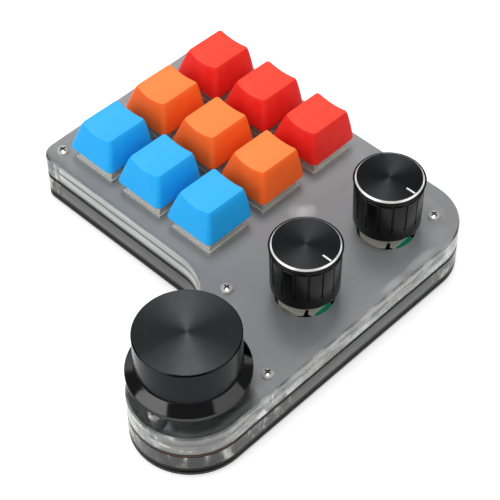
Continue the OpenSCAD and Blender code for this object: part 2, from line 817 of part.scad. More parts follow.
module key_diodes() {
    for (spot = key_spots) board_part(spot[0] + 6.5, spot[1] - 6, [2.7, 1.6, 1.1], [0.12, 0.12, 0.12]);
}

// ---- Assembly ----

case_top();
pcb();
case_bottom();
base_plate();
feet();
case_screws();
switch_tops();
switch_bottoms();
switch_contacts();
encoder_brackets();
encoder_bases();
encoder_bushings();
encoder_pins();
usb_shell();
usb_tongue();
controller_chip();
crystal();
key_diodes();

for (row = [0:2], column = COLUMNS) {
    place = str(ROW_NAMES[row], "_", column + 1);
    spot = key_spot(row, column);
    color(ROW_COLOURS[row]) translate([spot[0], spot[1], cap_z]) keycap();
    color([0.55, 0.2, 0.15]) translate([spot[0], spot[1], 0]) stem();
    translate([spot[0], spot[1], 0]) spring();
}

for (i = [0:2]) {
    foot_z = i == 0 ? dial_z : knob_z;
    height = i == 0 ? dial_h : knob_h;
    set_h = i == 0 ? dial_set_h : knob_set_h;
    shaft_top_z = foot_z + height - knob_cap_t - 0.2;
    flat_l = height - knob_cap_t - 0.2 - (i == 0 ? dial_hollow_h : knob_hollow_h);
    translate([knob_spots[i][0], knob_spots[i][1], 0]) {
        translate([0, 0, foot_z]) {
                if (i == 0) large_knob();
                else small_knob();
            }
        shaft(shaft_top_z, flat_l);
        plunger();
        translate([0, 0, foot_z]) set_screw(set_h);
    }
}
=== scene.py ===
import json
import math

import bpy
from mathutils import Matrix, Vector


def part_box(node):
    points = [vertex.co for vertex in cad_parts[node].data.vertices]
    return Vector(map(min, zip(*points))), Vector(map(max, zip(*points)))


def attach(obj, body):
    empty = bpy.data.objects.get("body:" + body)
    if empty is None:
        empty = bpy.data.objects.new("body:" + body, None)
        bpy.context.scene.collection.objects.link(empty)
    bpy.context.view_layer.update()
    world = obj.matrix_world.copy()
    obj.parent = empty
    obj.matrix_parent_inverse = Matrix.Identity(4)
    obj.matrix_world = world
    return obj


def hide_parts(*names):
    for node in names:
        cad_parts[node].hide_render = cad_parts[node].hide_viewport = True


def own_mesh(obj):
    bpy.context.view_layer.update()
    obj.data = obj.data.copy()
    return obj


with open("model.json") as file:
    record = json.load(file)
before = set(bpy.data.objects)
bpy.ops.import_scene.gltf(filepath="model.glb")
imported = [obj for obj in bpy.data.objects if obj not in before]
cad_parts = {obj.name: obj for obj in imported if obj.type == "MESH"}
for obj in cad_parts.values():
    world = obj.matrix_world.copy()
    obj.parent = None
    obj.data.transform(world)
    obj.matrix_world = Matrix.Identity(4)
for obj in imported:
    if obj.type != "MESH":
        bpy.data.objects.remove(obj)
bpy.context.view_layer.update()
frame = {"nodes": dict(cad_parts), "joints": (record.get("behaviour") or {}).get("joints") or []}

# A keypad with nine keys and three knobs, in metres. Its solids come from the frame: some pieces are
# made again with finer edges, and every piece gets its finish.
scene = bpy.context.scene
scene.view_settings.view_transform = "Standard"
mm = 0.001

rowNames = ["front", "middle", "back"]
columns = (1, 2, 3)
keyPlaces = [f"{row}_{column}" for row in rowNames for column in columns]
knobNames = ["large", "front", "back"]
screwHeadHeight = 1.2 * mm
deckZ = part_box("case_screws")[1].z - screwHeadHeight  # the screw heads stand on the deck


def middle(node):
    # x and y of the middle of a node
    low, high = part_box(node)
    return (low.x + high.x) / 2, (low.y + high.y) / 2


def knobPlace(knob):
    return *middle("shaft_" + knob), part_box("knob_" + knob)[0].z


class Sock:
    # one output of a node; maths on it adds nodes
    def __init__(self, finish, socket):
        self.finish = finish
        self.socket = socket

    def beside(self, output):
        # another output of the same node
        return Sock(self.finish, self.socket.node.outputs[output])

    def maths(self, operation, *values):
        return self.finish.node("ShaderNodeMath", {"operation": operation}, values)

    def __add__(self, other):
        return self.maths("ADD", self, other)

    def __sub__(self, other):
        return self.maths("SUBTRACT", self, other)

    def __mul__(self, other):
        return self.maths("MULTIPLY", self, other)

    def __truediv__(self, other):
        return self.maths("DIVIDE", self, other)

    def __rsub__(self, other):
        return self.maths("SUBTRACT", other, self)

    def __rtruediv__(self, other):
        return self.maths("DIVIDE", other, self)

    def __abs__(self):
        return self.maths("ABSOLUTE", self)

    __radd__ = __add__
    __rmul__ = __mul__

    def over(self, edge):
        return self.maths("GREATER_THAN", self, edge)

    def under(self, edge):
        return self.maths("LESS_THAN", self, edge)

    def within(self, low, high):
        return self.over(low) * self.under(high)

    def between(self, low, high):
        # 0 at low and 1 at high, straight in between and level outside
        return self.finish.node("ShaderNodeMapRange", {"clamp": True}, [self, low, high, 0.0, 1.0])

    def wave(self):
        return self.maths("SINE", self)

    def root(self):
        return self.maths("SQRT", self)

    def axes(self, names="XYZ"):
        # the named coordinates of a point or direction
        parts = self.finish.node("ShaderNodeSeparateXYZ", None, [self])
        return [parts.beside(name) for name in names]


class Finish:
    # a material, or the world, that is put together node by node
    def __init__(self, name, owners=bpy.data.materials, ending="ShaderNodeOutputMaterial"):
        self.owner = owners.new(name)
        self.owner.use_nodes = True
        self.tree = self.owner.node_tree
        self.tree.nodes.clear()
        self.ending = ending

    def node(self, kind, settings=None, values=(), output=0):
        # the settings come first, such as an operation or a ramp's stops, then the sockets
        made = self.tree.nodes.new(kind)
        for key, value in (settings or {}).items():
            if key == "stops":
                self.fillRamp(made.color_ramp, value)
            else:
                setattr(made, key, value)
        inputs = values.items() if isinstance(values, dict) else enumerate(values)
        for key, value in inputs:
            if isinstance(value, Sock):
                self.tree.links.new(value.socket, made.inputs[key])
            else:
                made.inputs[key].default_value = value
        return Sock(self, made.outputs[output]) if made.outputs else None

    def fillRamp(self, ramp, stops):
        while len(ramp.elements) > 1:
            ramp.elements.remove(ramp.elements[0])
        for i, (position, tone) in enumerate(stops):
            stop = ramp.elements[0] if i == 0 else ramp.elements.new(position)
            stop.position = position
            stop.color = tone

    def spot(self):
        # the shaded point in the piece's own space
        return self.node("ShaderNodeTexCoord", output="Object")

    def facing(self):
        # 1 where the surface faces up, 0 where it stands upright and -1 where it faces down
        return self.node("ShaderNodeNewGeometry", output="Normal").axes("Z")[0]

    def noise(self, spot, scale, detail=2.0):
        return self.node("ShaderNodeTexNoise", None, {"Vector": spot, "Scale": scale, "Detail": detail})

    def stretchedNoise(self, spot, across, upward, detail):
        # noise whose patches have another size upward than across
        x, y, z = spot.axes()
        stretched = self.node("ShaderNodeCombineXYZ", None, [x * across, y * across, z * upward])
        return self.noise(stretched, 1.0, detail)

    def mix(self, share, first, second):
        # a colour mix takes its share at 0 and its colours at 6 and 7, and gives its result at 2
        colours = {6: colour(first), 7: colour(second)}
        return self.node("ShaderNodeMix", {"data_type": "RGBA"}, {0: share, **colours}, 2)

    def bands(self, level, tones):
        # grey bands one above the other, each with its share of the height and its tone
        stops = [(height, colour((tone, tone, tone))) for height, tone in tones]
        return self.node("ShaderNodeValToRGB", {"stops": stops}, [level])

    def bump(self, height, depth, strength=1.0):
        values = {"Height": height, "Distance": depth, "Strength": strength}
        return self.node("ShaderNodeBump", None, values)

    def shader(self, values):
        return self.node("ShaderNodeBsdfPrincipled", None, values)

    def clear(self, tint, roughness):
        return self.shader({
            "Base Color": colour(tint), "Roughness": roughness, "IOR": 1.49, "Transmission Weight": 1.0})

    def blend(self, share, first, second):
        return self.node("ShaderNodeMixShader", None, [share, first, second])

    def close(self, shader):
        self.node(self.ending, None, {"Surface": shader})
        return self.owner


def colour(value):
    # sRGB numbers from 0 to 255 become the linear colour that the nodes want
    if isinstance(value, Sock):
        return value
    parts = [part / 255 for part in value]
    return [part / 12.92 if part < 0.04045 else ((part + 0.055) / 1.055) ** 2.4 for part in parts] + [1.0]


def plainFinish(name, tone, roughness, metallic=0.0):
    # an even material with a faint cloud and a fine grain
    finish = Finish(name)
    spot = finish.spot()
    cloud = finish.noise(spot, 400.0)
    grain = finish.noise(spot, 3000.0, 3.0)
    return finish.close(finish.shader({
        "Base Color": finish.mix(cloud * 0.12, tone, [0, 0, 0]),
        "Roughness": cloud * 0.08 + (roughness - 0.04),
        "Metallic": metallic,
        "Normal": finish.bump(grain, 0.01 * mm, 0.6),
    }))


def newPiece(name, rings, material, body, place, node, smooth=True):
    # faces between rings of points, each ring as long as the first, with both ends closed
    count = len(rings[0])
    points = [point for ring in rings for point in ring]
    faces = []
    for low in range(0, len(points) - count, count):
        for i in range(count):
            j = (i + 1) % count
            faces.append((low + i, low + j, low + count + j, low + count + i))
    faces.append(tuple(reversed(range(count))))
    faces.append(tuple(range(len(points) - count, len(points))))
    mesh = bpy.data.meshes.new(name)
    mesh.from_pydata(points, [], faces)
    mesh.polygons.foreach_set("use_smooth", [smooth] * len(mesh.polygons))
    mesh.materials.append(material)
    piece = bpy.data.objects.new(name, mesh)
    piece.location = place
    scene.collection.objects.link(piece)
    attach(piece, body)
    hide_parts(node)
    return piece


cameraPlace = {
    "position": (0.22406, -0.20724, 0.35083),
    "azimuth": 44.71,
    "elevation": 48.46,
    "roll": -0.74,
    "lens": 121.4,
    "sensor": 36,
}


def makeCamera(place):
    turn, rise, roll = (math.radians(place[key]) for key in ("azimuth", "elevation", "roll"))
    back = Vector((math.sin(turn) * math.cos(rise), -math.cos(turn) * math.cos(rise), math.sin(rise)))
    level = Vector((math.cos(turn), math.sin(turn), 0))
    right = level * math.cos(roll) + back.cross(level) * math.sin(roll)
    data = bpy.data.cameras.new("camera")
    data.lens = place["lens"]
    data.sensor_width = place["sensor"]
    camera = bpy.data.objects.new("camera", data)
    axes = Matrix((right, back.cross(right), back)).transposed()
    camera.matrix_world = Matrix.Translation(place["position"]) @ axes.to_4x4()
    scene.collection.objects.link(camera)
    scene.camera = camera


lampPlan = {
    "leftLamp": {"at": (-0.22, -0.73, 0.54), "width": 0.8, "height": 0.6, "power": 3.6},
    "backLamp": {"at": (-0.15, 0.14, 0.97), "width": 0.3, "height": 0.6, "power": 3.2},
    "rightLamp": {"at": (0.86, 0.32, 0.52), "width": 0.9, "height": 0.6, "power": 1.8},
    "frontLamp": {"at": (0.55, -0.51, 0.55), "width": 0.3, "height": 0.3, "power": 0.7, "mirrored": False},
}


def makeLamps(plan):
    # every lamp looks at the middle of the keypad's foot
    for name, lamp in plan.items():
        data = bpy.data.lights.new(name, "AREA")
        data.shape = "RECTANGLE"
        data.size, data.size_y, data.energy = lamp["width"], lamp["height"], lamp["power"]
        lampObject = bpy.data.objects.new(name, data)
        lampObject.location = lamp["at"]
        lampObject.visible_glossy = lamp.get("mirrored", True)
        lampObject.rotation_mode = "QUATERNION"
        lampObject.rotation_quaternion = (-Vector(lamp["at"])).to_track_quat("-Z", "Y")
        scene.collection.objects.link(lampObject)


worldPlan = {"ambient": 0.55, "mirrored": 0.16, "through": 0.9}


def makeWorld(plan):
    # white to the camera, dimmer to everything that lights or mirrors
    sky = Finish("studio", bpy.data.worlds, "ShaderNodeOutputWorld")
    seen = sky.node("ShaderNodeLightPath")
    strength = plan["ambient"]
    for ray, level in (("Is Glossy Ray", plan["mirrored"]), ("Is Transmission Ray", plan["through"]),
                       ("Is Camera Ray", 1.0)):
        strength = sky.node("ShaderNodeMix", None, {0: seen.beside(ray), 2: strength, 3: level})
    light = sky.node("ShaderNodeBackground", None, {"Color": (1, 1, 1, 1), "Strength": strength})
    scene.world = sky.close(light)


floorPlan = {"halfWidth": 3.0, "tone": (244, 244, 244), "roughness": 0.9, "glow": 0.45}


def makeFloor(plan):
    # pale paper, brighter to the camera, to mirrors and through clear plastic
    finish = Finish("floorPaper")
    seen = finish.node("ShaderNodeLightPath", output="Is Camera Ray")
    shiny = seen.beside("Is Glossy Ray") + seen.beside("Is Transmission Ray")
    paper = finish.close(finish.shader({
        "Base Color": colour(plan["tone"]),
        "Roughness": plan["roughness"],
        "Specular IOR Level": 0.0,
        "Emission Color": finish.mix((seen + shiny).between(0.0, 1.0), [0, 0, 0], [255, 255, 255]),
        "Emission Strength": plan["glow"],
    }))
    reach = plan["halfWidth"]
    mesh = bpy.data.meshes.new("floor")
    mesh.from_pydata([(x * reach, y * reach, 0) for x, y in ((-1, -1), (1, -1), (1, 1), (-1, 1))],
                     [], [(0, 1, 2, 3)])
    mesh.materials.append(paper)
    floor = bpy.data.objects.new("floor", mesh)
    scene.collection.objects.link(floor)


makeCamera(cameraPlace)
makeLamps(lampPlan)
makeWorld(worldPlan)
makeFloor(floorPlan)
print("camera, lamps and floor are in place")


keycapShape = {  # millimetres
    "rimWidth": 16.9, "topWidth": 11.3, "topDepth": 13.2, "height": 8.05,
    "setback": 1.35, "tilt": 1.8, "dishRadius": 19.5, "swell": 0.1,
    "rimCorner": 1.8, "topCorner": 0.95, "edgeRound": 0.3, "wall": 0.95, "roof": 1.5,
    "innerSpread": 0.6, "innerCorner": 1.0,  # the hollow widens toward its roof
    "skirt": 0.45,  # how far the sides reach below the rim's level
    "rimRound": [(0.0, 0.18), (0.012, 0.04), (0.03, 0.0)],  # share of the height, and its inset
    "bulge": 0.6,  # how far the front side swells under the finger face
    "shoulderInset": 0.12, "shoulderCorner": 0.4,
    "faceInset": 0.1, "faceCorner": 0.7, "leastCorner": 0.1,
}
keycapFinish = {
    "roughness": 0.42, "level": 0.16, "cloudScale": 260.0, "grainScale": 5200.0, "whitening": 0.03,
    "paintedShadeEdges": (0.6, 0.98),  # how far up it faces where the painted shade of the sides gives way to the finger face's tone
}
keycapRows = {  # tones of the finger face and the sides; the sides' tone carries painted shade, darker and deeper
    "front": {"top": (51, 180, 250), "side": (0, 164, 236), "slot": "keycap_blue"},
    "middle": {"top": (250, 137, 66), "side": (247, 97, 14), "slot": "keycap_orange"},
    "back": {"top": (246, 68, 48), "side": (230, 18, 0), "slot": "keycap_red"},
}


def keycapPlastic(name, top, side, plan):
    finish = Finish(name)
    spot = finish.spot()
    cloud = finish.noise(spot, plan["cloudScale"])
    grain = finish.noise(spot, plan["grainScale"], 3.0)
    # painted shade: upright faces take the darker side tone, faces that look up take the lighter top tone
    plain = finish.mix(finish.facing().between(*plan["paintedShadeEdges"]), side, top)
    return finish.close(finish.shader({
        "Base Color": finish.mix(cloud * plan["whitening"], plain, [255, 255, 255]),
        "Roughness": cloud * 0.08 + plan["roughness"],
        "Specular IOR Level": plan["level"],
        "Normal": finish.bump(grain, 0.02 * mm, 0.5),
    }))


def roundedRect(width, depth, radius, cornerSteps=6, sideSteps=8):
    # points anticlockwise round a centred rectangle, closer together at its round corners
    corners = []
    for quarter, (sideX, sideY) in enumerate([(1, 1), (-1, 1), (-1, -1), (1, -1)]):
        angles = [math.pi / 2 * (quarter + step / cornerSteps) for step in range(cornerSteps + 1)]
        corners.append([(sideX * (width / 2 - radius) + radius * math.cos(angle),
                         sideY * (depth / 2 - radius) + radius * math.sin(angle)) for angle in angles])
    points = []
    for corner, following in zip(corners, corners[1:] + corners[:1]):
        (startX, startY), (endX, endY) = corner[-1], following[0]
        points += corner
        points += [(startX + (endX - startX) * i / sideSteps, startY + (endY - startY) * i / sideSteps)
                   for i in range(1, sideSteps)]
    return points


def faceHeight(shape, x, y):
    # height of the hollow, tilted finger face, which is at full height along its left and right edges
    radius, reach = shape["dishRadius"], shape["topWidth"] / 2
    depth = math.sqrt(radius ** 2 - x * x) - math.sqrt(radius ** 2 - reach ** 2)
    return shape["height"] - depth - math.tan(math.radians(shape["tilt"])) * (y - shape["setback"])


def bulged(outline, width, depth):
    # the outline with its front side pushed out in the middle
    return [(x, y - depth * (1 - (2 * x / width) ** 2) if y < 0 else y) for x, y in outline]


def faceRing(shape, outline, drop=0.0):
    # the outline laid on the finger face, or a little below it
    back = shape["setback"]
    return [(x, y + back, faceHeight(shape, x, y + back) - drop) for x, y in outline]


def keycapInside(shape):
    # rings from the roof of the hollow down to the rim
    rim, wall, spread, skirt = shape["rimWidth"], shape["wall"], shape["innerSpread"], shape["skirt"]
    roofZ = shape["height"] - shape["roof"]
    rings = []
    for share in (1.0, 0.75, 0.5, 0.25, 0.0):
        width = rim - 2 * wall + (shape["topWidth"] - rim + spread) * share
        depth = rim - 2 * wall + (shape["topDepth"] - rim + spread) * share
        rings.append([(x, y + shape["setback"] * share, roofZ * share - skirt * (1 - share))
                      for x, y in roundedRect(width, depth, shape["innerCorner"])])
    return rings


def keycapSides(shape):
    # rings up the swelling sides, from a rim with a small round
    rim, high, back = shape["rimWidth"], shape["height"], shape["setback"]
    rings = []
    for share, inset in shape["rimRound"] + [(0.08 + 0.08 * i, 0.0) for i in range(11)]:
        swell = 4 * share * (1 - share) * shape["swell"]
        width = rim + (shape["topWidth"] - rim) * share + 2 * swell - 2 * inset
        depth = rim + (shape["topDepth"] - rim) * share + 2 * swell - 2 * inset
        corner = shape["rimCorner"] + (shape["topCorner"] - shape["rimCorner"]) * share
        outline = bulged(roundedRect(width, depth, corner), width, shape["bulge"] * share * share)
        rises = [faceHeight(shape, x, y + back) - high for x, y in outline]
        foot = shape["skirt"] * (1 - share)
        rings.append([(x, y + back * share, high * share + rise * share ** 4 - foot)
                      for (x, y), rise in zip(outline, rises)])
    return rings


def keycapTop(shape, steps=7):
    # rings over the round shoulder, then inward over the finger face
    topW, topD, rounding, bulge = shape["topWidth"], shape["topDepth"], shape["edgeRound"], shape["bulge"]
    slope = math.atan2((shape["rimWidth"] - topW) / 2, shape["height"])
    rings = []
    for step in range(1, steps + 1):
        angle = slope + (math.pi / 2 - slope) * step / steps
        pull = rounding * (1 - math.cos(angle)) - rounding * (1 - math.cos(slope))
        width, depth = (side - 2 * pull - shape["shoulderInset"] for side in (topW, topD))
        outline = roundedRect(width, depth, max(shape["topCorner"] - pull, shape["shoulderCorner"]))
        rings.append(faceRing(shape, bulged(outline, topW, bulge), rounding * (1 - math.sin(angle))))
    width, depth = (side - 2 * rounding - shape["faceInset"] for side in (topW, topD))
    for share in (0.95, 0.85, 0.7, 0.5, 0.3, 0.12):
        corner = max(shape["faceCorner"] * share, shape["leastCorner"])
        outline = roundedRect(width * share, depth * share, corner)
        rings.append(faceRing(shape, bulged(outline, width * share, bulge * share)))
    return rings


def makeKeycaps(shape):
    rings = [[(x * mm, y * mm, z * mm) for x, y, z in ring]
             for ring in keycapInside(shape) + keycapSides(shape) + keycapTop(shape)]
    for row in rowNames:
        plan = keycapRows[row]
        plastic = keycapPlastic("keycapPlastic_" + row, plan["top"], plan["side"], keycapFinish)
        for column in columns:
            node = f"keycap_{row}_{column}"
            place = *middle(f"stem_{row}_{column}"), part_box(node)[0].z
            newPiece("cap_" + node, rings, plastic, f"key_{row}_{column}", place, node)


makeKeycaps(keycapShape)
print("keycaps are made")


smallShape = {  # millimetres
    "rim": 9.6, "grip": 9.35, "foot": 9.15, "height": 15.4, "band": 3.8, "lip": 0.75, "footRound": 0.6,
    "ringOuter": 9.1, "ringInner": 8.68, "ringDrop": 0.5,
    "grooves": 16, "grooveDepth": 0.3, "grooveTurn": 0.12,
    "hollowRadius": 6.6, "hollowHeight": 4.4,
    "markStart": 5.7, "markEnd": 8.5, "markWidth": 0.5, "markCorner": 0.12,
}
smallFinish = {
    "grip": {"tone": (5, 5, 6), "roughness": 0.3, "metallic": 0.0, "level": 0.2},
    "ring": {"tone": (252, 252, 250), "roughness": 0.3, "metallic": 0.45},
    "disc": {"tone": (66, 67, 70), "roughness": 0.5, "anisotropic": 0.8},
    "mark": {"tone": (240, 240, 238), "roughness": 0.4},
}
largeShape = {  # millimetres
    "barrel": 13.45, "skirt": 15.8, "skirtHeight": 1.3, "flareHeight": 2.6, "height": 14.9,
    "hollowRadius": 11.0, "hollowHeight": 7.0, "bossRadius": 6.0, "bossFoot": 1.0, "bore": 2.9,
}
largeFinish = {
    "skirt": {"tone": (70, 70, 70), "roughness": 0.1, "rimTone": 0.4},
    "barrel": {"tone": (34, 35, 36), "roughness": 0.2, "rimTone": 0.7},
    "disc": {"tone": (78, 79, 82), "roughness": 0.38, "metallic": 0.78, "anisotropic": 0.97,
             "pitch": 0.0006, "groove": 0.42},
}


def turnedBlack(name, tone, roughness, metallic=1.0, anisotropic=0.0, pitch=0.00042, groove=0.15,
                level=0.3, rimTone=1.0):
    # black anodised aluminium with fine turned rings on its end faces
    finish = Finish(name)
    spot = finish.spot()
    x, y = spot.axes("XY")
    radius = (x * x + y * y).root()
    onEnd = finish.facing().over(0.95)
    cut = finish.node("ShaderNodeCombineXYZ", None, [radius * 4200.0, 0.0, 0.0])
    rings = (radius * (2 * math.pi / pitch)).wave() * 0.5 + finish.noise(cut, 1.0, 2.0)
    cloud = finish.noise(spot, 500.0)
    dark = (rings * 0.5 + 0.25) * onEnd * groove + cloud * 0.12
    return finish.close(finish.shader({
        "Base Color": finish.mix(dark, tone, [0, 0, 0]),
        "Roughness": cloud * 0.06 + (roughness - 0.03),
        "Metallic": metallic,
        "Specular IOR Level": level,
        "Specular Tint": [rimTone, rimTone, rimTone, 1.0],
        "Anisotropic": anisotropic,
        "Anisotropic Rotation": 0.25,
        "Normal": finish.bump(rings * onEnd, 0.003 * mm),
    }))


def knobPiece(name, knob, rings, material, smooth=True, sharpFold=32):
    # a piece that turns with the knob; a smooth one stays sharp where it folds by more than those degrees
    piece = newPiece(name, rings, material, "turn_" + knob, knobPlace(knob),
                     "knob_" + knob, smooth)
    if smooth:
        piece.data.set_sharp_from_angle(angle=math.radians(sharpFold))


def latheRings(profile, turns):
    # rings round Z through each (radius, height) of the profile
    angles = [2 * math.pi * i / turns for i in range(turns)]
    return [[(radius * mm * math.cos(angle), radius * mm * math.sin(angle), height * mm)
             for angle in angles] for radius, height in profile]


def groovedRings(profile, shape):
    # rings like those of the lathe, with V grooves as deep as each point's third number
    edge, bottom, panel = 1.9, 0.5, 18.7  # degrees: a groove's edge and bottom, and a panel's turn
    offsets = [-edge, -bottom, bottom, edge] + [edge + panel * i / 9 for i in range(1, 9)]
    rings = []
    for radius, height, cut in profile:
        ring = []
        for groove in range(shape["grooves"]):
            for offset in offsets:
                turn = math.radians(360 / shape["grooves"] * (groove + shape["grooveTurn"]) + offset)
                reach = (radius - (cut if abs(offset) <= bottom else 0)) * mm
                ring.append((reach * math.cos(turn), reach * math.sin(turn), height * mm))
        rings.append(ring)
    return rings


def gripProfile(shape):
    # radius, height and groove's depth, from the hollow round the foot and up to the ring's seat
    rim, grip, foot, hollow = shape["rim"], shape["grip"], shape["foot"], shape["hollowRadius"]
    band, depth, rounding = shape["band"], shape["grooveDepth"], shape["footRound"]
    seatZ = shape["height"] - shape["ringDrop"]
    lipZ = seatZ - shape["lip"]
    inside = [(hollow, shape["hollowHeight"], 0), (hollow, 0.1, 0), (hollow + 0.1, 0, 0)]
    rounded = [(foot - rounding * (1 - math.sin(turn)), rounding * (1 - math.cos(turn)), 0)
               for turn in (math.pi / 12 * i for i in range(7))]
    plain = [(foot + 0.02, band - 0.12, 0), (foot + 0.02, band, 0)]
    fluted = [(foot + 0.02, band + 0.02, depth), (grip - 0.02, lipZ - 1.0, depth),
              (grip - 0.05, lipZ - 0.94, depth), (grip - 0.3, lipZ - 0.66, depth * 0.3)]
    neck = [(grip - 0.36, lipZ - 0.64, 0), (grip - 0.36, lipZ - 0.04, 0)]
    lip = [(rim - 0.3, lipZ, 0), (rim - 0.22, lipZ + 0.06, 0), (rim, seatZ - 0.12, 0),
           (rim - 0.12, seatZ, 0), (shape["ringOuter"], seatZ, 0)]
    return inside + rounded + plain + fluted + neck + lip


def smallKnob(knob, shape, looks, turns=128):
    high, outer, inner = shape["height"], shape["ringOuter"], shape["ringInner"]
    seatZ, faceZ = high - shape["ringDrop"], high - 0.04
    knobPiece("grip_" + knob, knob, groovedRings(gripProfile(shape), shape),
              turnedBlack("gripBlack_" + knob, **looks["grip"]))
    ring = [(outer - 0.02, seatZ - 0.02), (outer - 0.02, seatZ + 0.02), (inner + 0.02, high - 0.02),
            (inner, high - 0.03), (inner - 0.02, high - 0.25)]
    knobPiece("ring_" + knob, knob, latheRings(ring, turns),
              plainFinish("ringMetal_" + knob, **looks["ring"]))
    disc = [(inner - 0.01, high - 0.3), (inner - 0.01, high - 0.06), (inner - 0.05, faceZ),
            (inner - 0.1, faceZ), (3.0, faceZ), (0.3, faceZ)]
    knobPiece("disc_" + knob, knob, latheRings(disc, turns),
              turnedBlack("discBlack_" + knob, **looks["disc"]))
    start, end, corner = shape["markStart"], shape["markEnd"], shape["markCorner"]
    half = shape["markWidth"] / 2
    outline = [(start, -half + corner), (start + corner, -half), (end, -half), (end, half),
               (start + corner, half), (start, half - corner)]
    mark = [[(x * mm, y * slim * mm, z * mm) for x, y in outline]
            for slim, z in ((1.0, high - 0.15), (1.0, high - 0.02), (0.8, high + 0.01))]
    knobPiece("mark_" + knob, knob, mark, plainFinish("markWhite_" + knob, **looks["mark"]),
              smooth=False)


def largeKnob(shape, looks, turns=180):
    high, barrel, skirt, rim = shape["height"], shape["barrel"], shape["skirt"], shape["skirtHeight"]
    hollow, deep, boss = shape["hollowRadius"], shape["hollowHeight"], shape["bossRadius"]
    low, top = shape["bossFoot"], rim + shape["flareHeight"]
    cone = [  # a polished cone that stands on an upright rim
        (shape["bore"], low), (boss, low), (boss, deep), (hollow, deep), (hollow, 0.1), (hollow + 0.1, 0),
        (skirt - 0.25, 0), (skirt - 0.07, 0.07), (skirt, 0.25), (skirt, rim - 0.2),
        (skirt - 0.05, rim - 0.06), (skirt - 0.17, rim + 0.04), (barrel + 0.1, top - 0.12),
        (barrel + 0.02, top - 0.04), (barrel - 0.1, top)]
    side = [
        (barrel - 0.3, top - 0.3), (barrel, top - 0.1), (barrel, high - 0.44), (barrel - 0.03, high - 0.4),
        (barrel - 0.31, high - 0.1), (barrel - 0.36, high - 0.08)]
    disc = [
        (barrel - 0.4, high - 0.3), (barrel - 0.35, high - 0.08), (barrel - 0.4, high - 0.01),
        (barrel - 0.46, high), (6.0, high), (3.0, high), (0.2, high)]
    for name, profile, metal in (("skirt", cone, "skirtBlack"), ("barrel", side, "barrelBlack"),
                                 ("disc", disc, "discBlack_large")):
        knobPiece(name + "_large", "large", latheRings(profile, turns), turnedBlack(metal, **looks[name]))


for knob in ("front", "back"):
    smallKnob(knob, smallShape, smallFinish)
largeKnob(largeShape, largeFinish)
print("knobs are made")


def reshaped(node, name, material, move=None):
    # a copy of the node's own shape, whose points may be moved a little
    mesh = frame["nodes"][node].data.copy()
    if move:
        for point in mesh.vertices:
            move(point.co)
    mesh.materials.clear()
    mesh.materials.append(material)
    copy = bpy.data.objects.new(name, mesh)
    scene.collection.objects.link(copy)
    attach(copy, "case")
    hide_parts(node)
    return copy


def dress(node, material):
    piece = frame["nodes"][node]
    piece.data.materials.clear()
    piece.data.materials.append(material)


def shorten(node, bothEnds, gap=0.03 * mm):
    # keeps a layer just short of the layers above and below it
    low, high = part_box(node)

    def move(point):
        if point.z < low.z + gap:
            point.z = low.z + gap
        elif bothEnds and point.z > high.z - gap:
            point.z = high.z - gap
    return move


wallPlan = {  # the polished walls, with painted reflections and painted light seen in them; lengths in metres
    "livelyBack": 0.047, "livelyLeft": -0.0515,  # the painted reflection patches stay off the back and left walls
    # painted reflections: dark streaks, dark patches and light patches, each with its edges, share and
    # tone
    "streak": (70.0, 900.0), "streakEdges": (0.35, 0.7), "streakShare": 0.35, "streakTone": (60, 60, 60),
    "darkEdges": (0.5, 0.4), "darkShare": 0.55, "darkTone": (50, 50, 50),
    "lightEdges": (0.5, 0.6), "lightShare": 0.7, "lightTone": (236, 236, 230),
    "nose": (0.0165, 0.0205),  # the round end below the large knob is plainer
    "noseEdges": (0.6, 0.66), "noseShare": 0.8,
    # the dark tone of the painted base in the foot of the wall
    "footTone": (4, 4, 4), "hazeAndPaintedRoughness": 0.3,
}
shellPlan = {
    **wallPlan,
    "tint": (248, 252, 252), "polish": 0.02,
    "frost": 0.5,  # how much rougher the upper face is
    "deckEdge": 0.0006, "level": 0.9,
    "sheen": (176, 178, 180), "sheenDark": (168, 171, 174),  # it mirrors its surroundings softly
    "sheenRoughness": 0.42, "sheenShare": 0.3, "sheenCloud": 45.0, "sheenGrain": 4000.0,
    "milkAndPaintedLight": (206, 208, 210), "milkAndPaintedShare": 0.33,
    "keyPaintedLight": 0.2,  # painted light: more milk round the keys, so the deck is lighter there
    "keyEdgesX": (0.018, 0.008), "keyEdgesY": (-0.0105, -0.0075),
    "knobShade": (0.0142, 0.0185), "knobShift": 0.0018,  # painted shade: the deck darkens below the large knob
    "knobLeast": 0.15,
    "backEdges": (-0.012, 0.03), "frontLeast": 0.7,  # and, painted shade too, toward the front
    # painted reflections, soft light patches on the frosted face: centre, reach and strength
    "paintedReflections": [(0.0172, 0.0238, 0.0028, 0.0036, 0.32), (0.0154, 0.0219, 0.003, 0.0032, 0.22),
              (0.0505, 0.0315, 0.0016, 0.0066, 0.2), (0.0508, 0.0205, 0.0014, 0.005, 0.22)],
    "wallShare": 0.7, "livelyShare": 0.35,
    # painted light and shade of the upright wall, bands from the circuit board up to the deck
    "paintedWallBands": [(0.0, 50), (0.1, 110), (0.2, 200), (0.48, 215), (0.55, 60), (0.62, 56), (0.69, 190),
                  (0.93, 208), (1.0, 120)],
    "calmX": (-0.044, 0.02), "calmY": (-1.0, 1.0),  # where the wall shows level bands instead of patches
    "patch": (150.0, 420.0), "noseTone": (112, 112, 112), "footing": 0.0,
}
framePlan = {
    **wallPlan,
    "tint": (246, 250, 250), "polish": 0.03, "upright": 0.4, "paintedWallLevel": 0.1, "leastPaintedShare": 0.1,
    "wallShare": 0.75, "livelyShare": 0.6,
    # painted light and shade of the frame's wall, bands from the base plate up to the circuit board
    "paintedWallBands": [(0.0, 20), (0.18, 40), (0.26, 122), (0.45, 114), (0.75, 100), (1.0, 84)],
    "calmX": (-0.044, 1.0), "calmY": (-0.02, 0.035),
    "patch": (260.0, 120.0), "noseTone": (72, 72, 72),
    "footing": 0.19,  # painted: the black base shows in the foot of the wall
}


